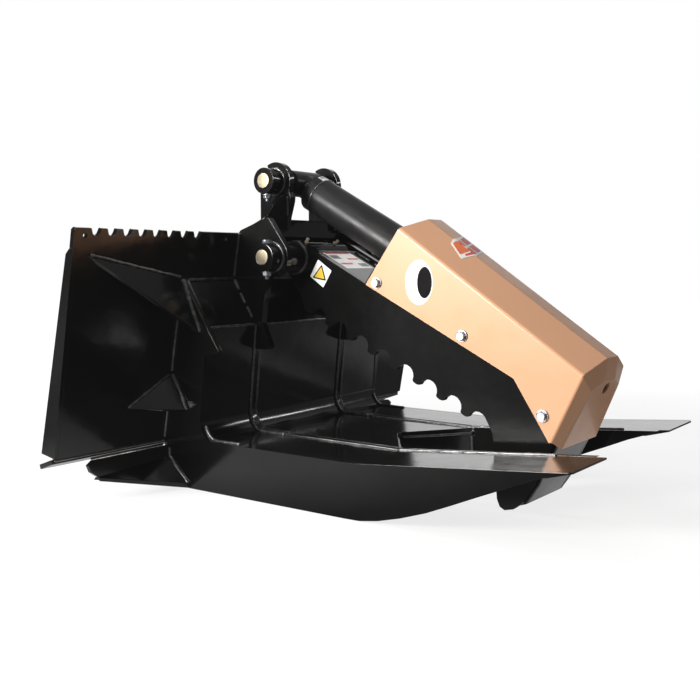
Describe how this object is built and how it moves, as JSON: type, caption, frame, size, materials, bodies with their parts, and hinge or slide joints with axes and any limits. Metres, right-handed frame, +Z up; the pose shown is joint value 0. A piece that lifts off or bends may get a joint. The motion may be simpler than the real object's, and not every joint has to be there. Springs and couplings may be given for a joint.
{
  "type": "tree and post puller attachment",
  "caption": "Skid steer tree and post puller: quick-attach plate, tapered forks with a V notch, and one hydraulic serrated jaw under a folded cover.",
  "frame": {"origin": "centre of the footprint at ground level, forks flat on the ground and jaw closed", "axes": "+X forward to the fork tips, +Y to the far side, +Z up"},
  "size_m": [0.938, 1.156, 0.667],
  "materials": {
    "black_paint": "gloss",
    "tan_paint": "satin",
    "zinc": "satin",
    "pin_steel": "satin",
    "rod_chrome": "polished",
    "brass": "satin"
  },
  "bodies": {
    "frame": {"mounting_plate": "black_paint", "side_flange_near": "black_paint", "side_flange_far": "black_paint", "lower_lip": "black_paint", "outer_rib_near": "black_paint", "outer_rib_far": "black_paint", "inner_rib_near": "black_paint", "inner_rib_far": "black_paint", "fork_sheet_near": "black_paint", "fork_sheet_far": "black_paint", "center_floor": "black_paint", "v_notch_wall": "black_paint", "diagonal_panel_center": "black_paint", "diagonal_panel_near": "black_paint", "diagonal_panel_far": "black_paint", "upper_gusset_near": "black_paint", "upper_gusset_far": "black_paint", "lower_gusset_near": "black_paint", "lower_gusset_far": "black_paint", "heel_bracket_near": "black_paint", "heel_bracket_far": "black_paint", "cross_beam": "black_paint", "upper_ear_near": "black_paint", "upper_ear_far": "black_paint", "ear_gusset_near": "black_paint", "ear_gusset_far": "black_paint", "lower_boss_near": "black_paint", "lower_boss_far": "black_paint", "upper_boss_near": "black_paint", "upper_boss_far": "black_paint", "lower_pin_bolt_near": "zinc", "lower_pin_bolt_far": "zinc", "upper_pin_bolt": "zinc", "lower_pin": "pin_steel", "upper_pin": "pin_steel"},
    "arm": {"pivot_tube": "black_paint", "arm_top_plate": "black_paint", "nose_blade": "black_paint", "arm_side_near": "black_paint", "arm_side_far": "black_paint", "cylinder_lug_near": "black_paint", "cylinder_lug_far": "black_paint", "rod_end_pin": "pin_steel", "guard_cover": "tan_paint", "cover_bolt_near_1": "zinc", "cover_bolt_near_2": "zinc", "cover_bolt_near_3": "zinc", "cover_bolt_far_1": "zinc", "cover_bolt_far_2": "zinc", "cover_bolt_far_3": "zinc", "grease_nipple_straight": "brass", "grease_nipple_angled": "brass"},
    "barrel": {"barrel_tube": "black_paint", "barrel_base": "black_paint", "gland": "black_paint"},
    "rod": {"rod": "rod_chrome", "piston": "zinc", "rod_eye": "black_paint"}
  },
  "joints": [
    {"name": "arm_hinge", "type": "hinge", "parent": "frame", "child": "arm", "pos_m": [-0.249, 0, 0.466], "axis": [0, -1, 0], "range_deg": [0, 45]},
    {"name": "barrel_hinge", "type": "hinge", "parent": "frame", "child": "barrel", "pos_m": [-0.3, 0, 0.626], "axis": [0, -1, 0], "range_deg": [0, 36]},
    {"name": "rod_slide", "type": "slide", "parent": "barrel", "child": "rod", "axis": [-0.8788, 0, 0.4772], "range_m": [0, 0.111]}
  ],
  "couplings": [
    {"joint": "barrel_hinge", "follows": "arm_hinge", "ratio": 0.79768},
    {"joint": "rod_slide", "follows": "arm_hinge", "m_per_rad": 0.14103}
  ]
}
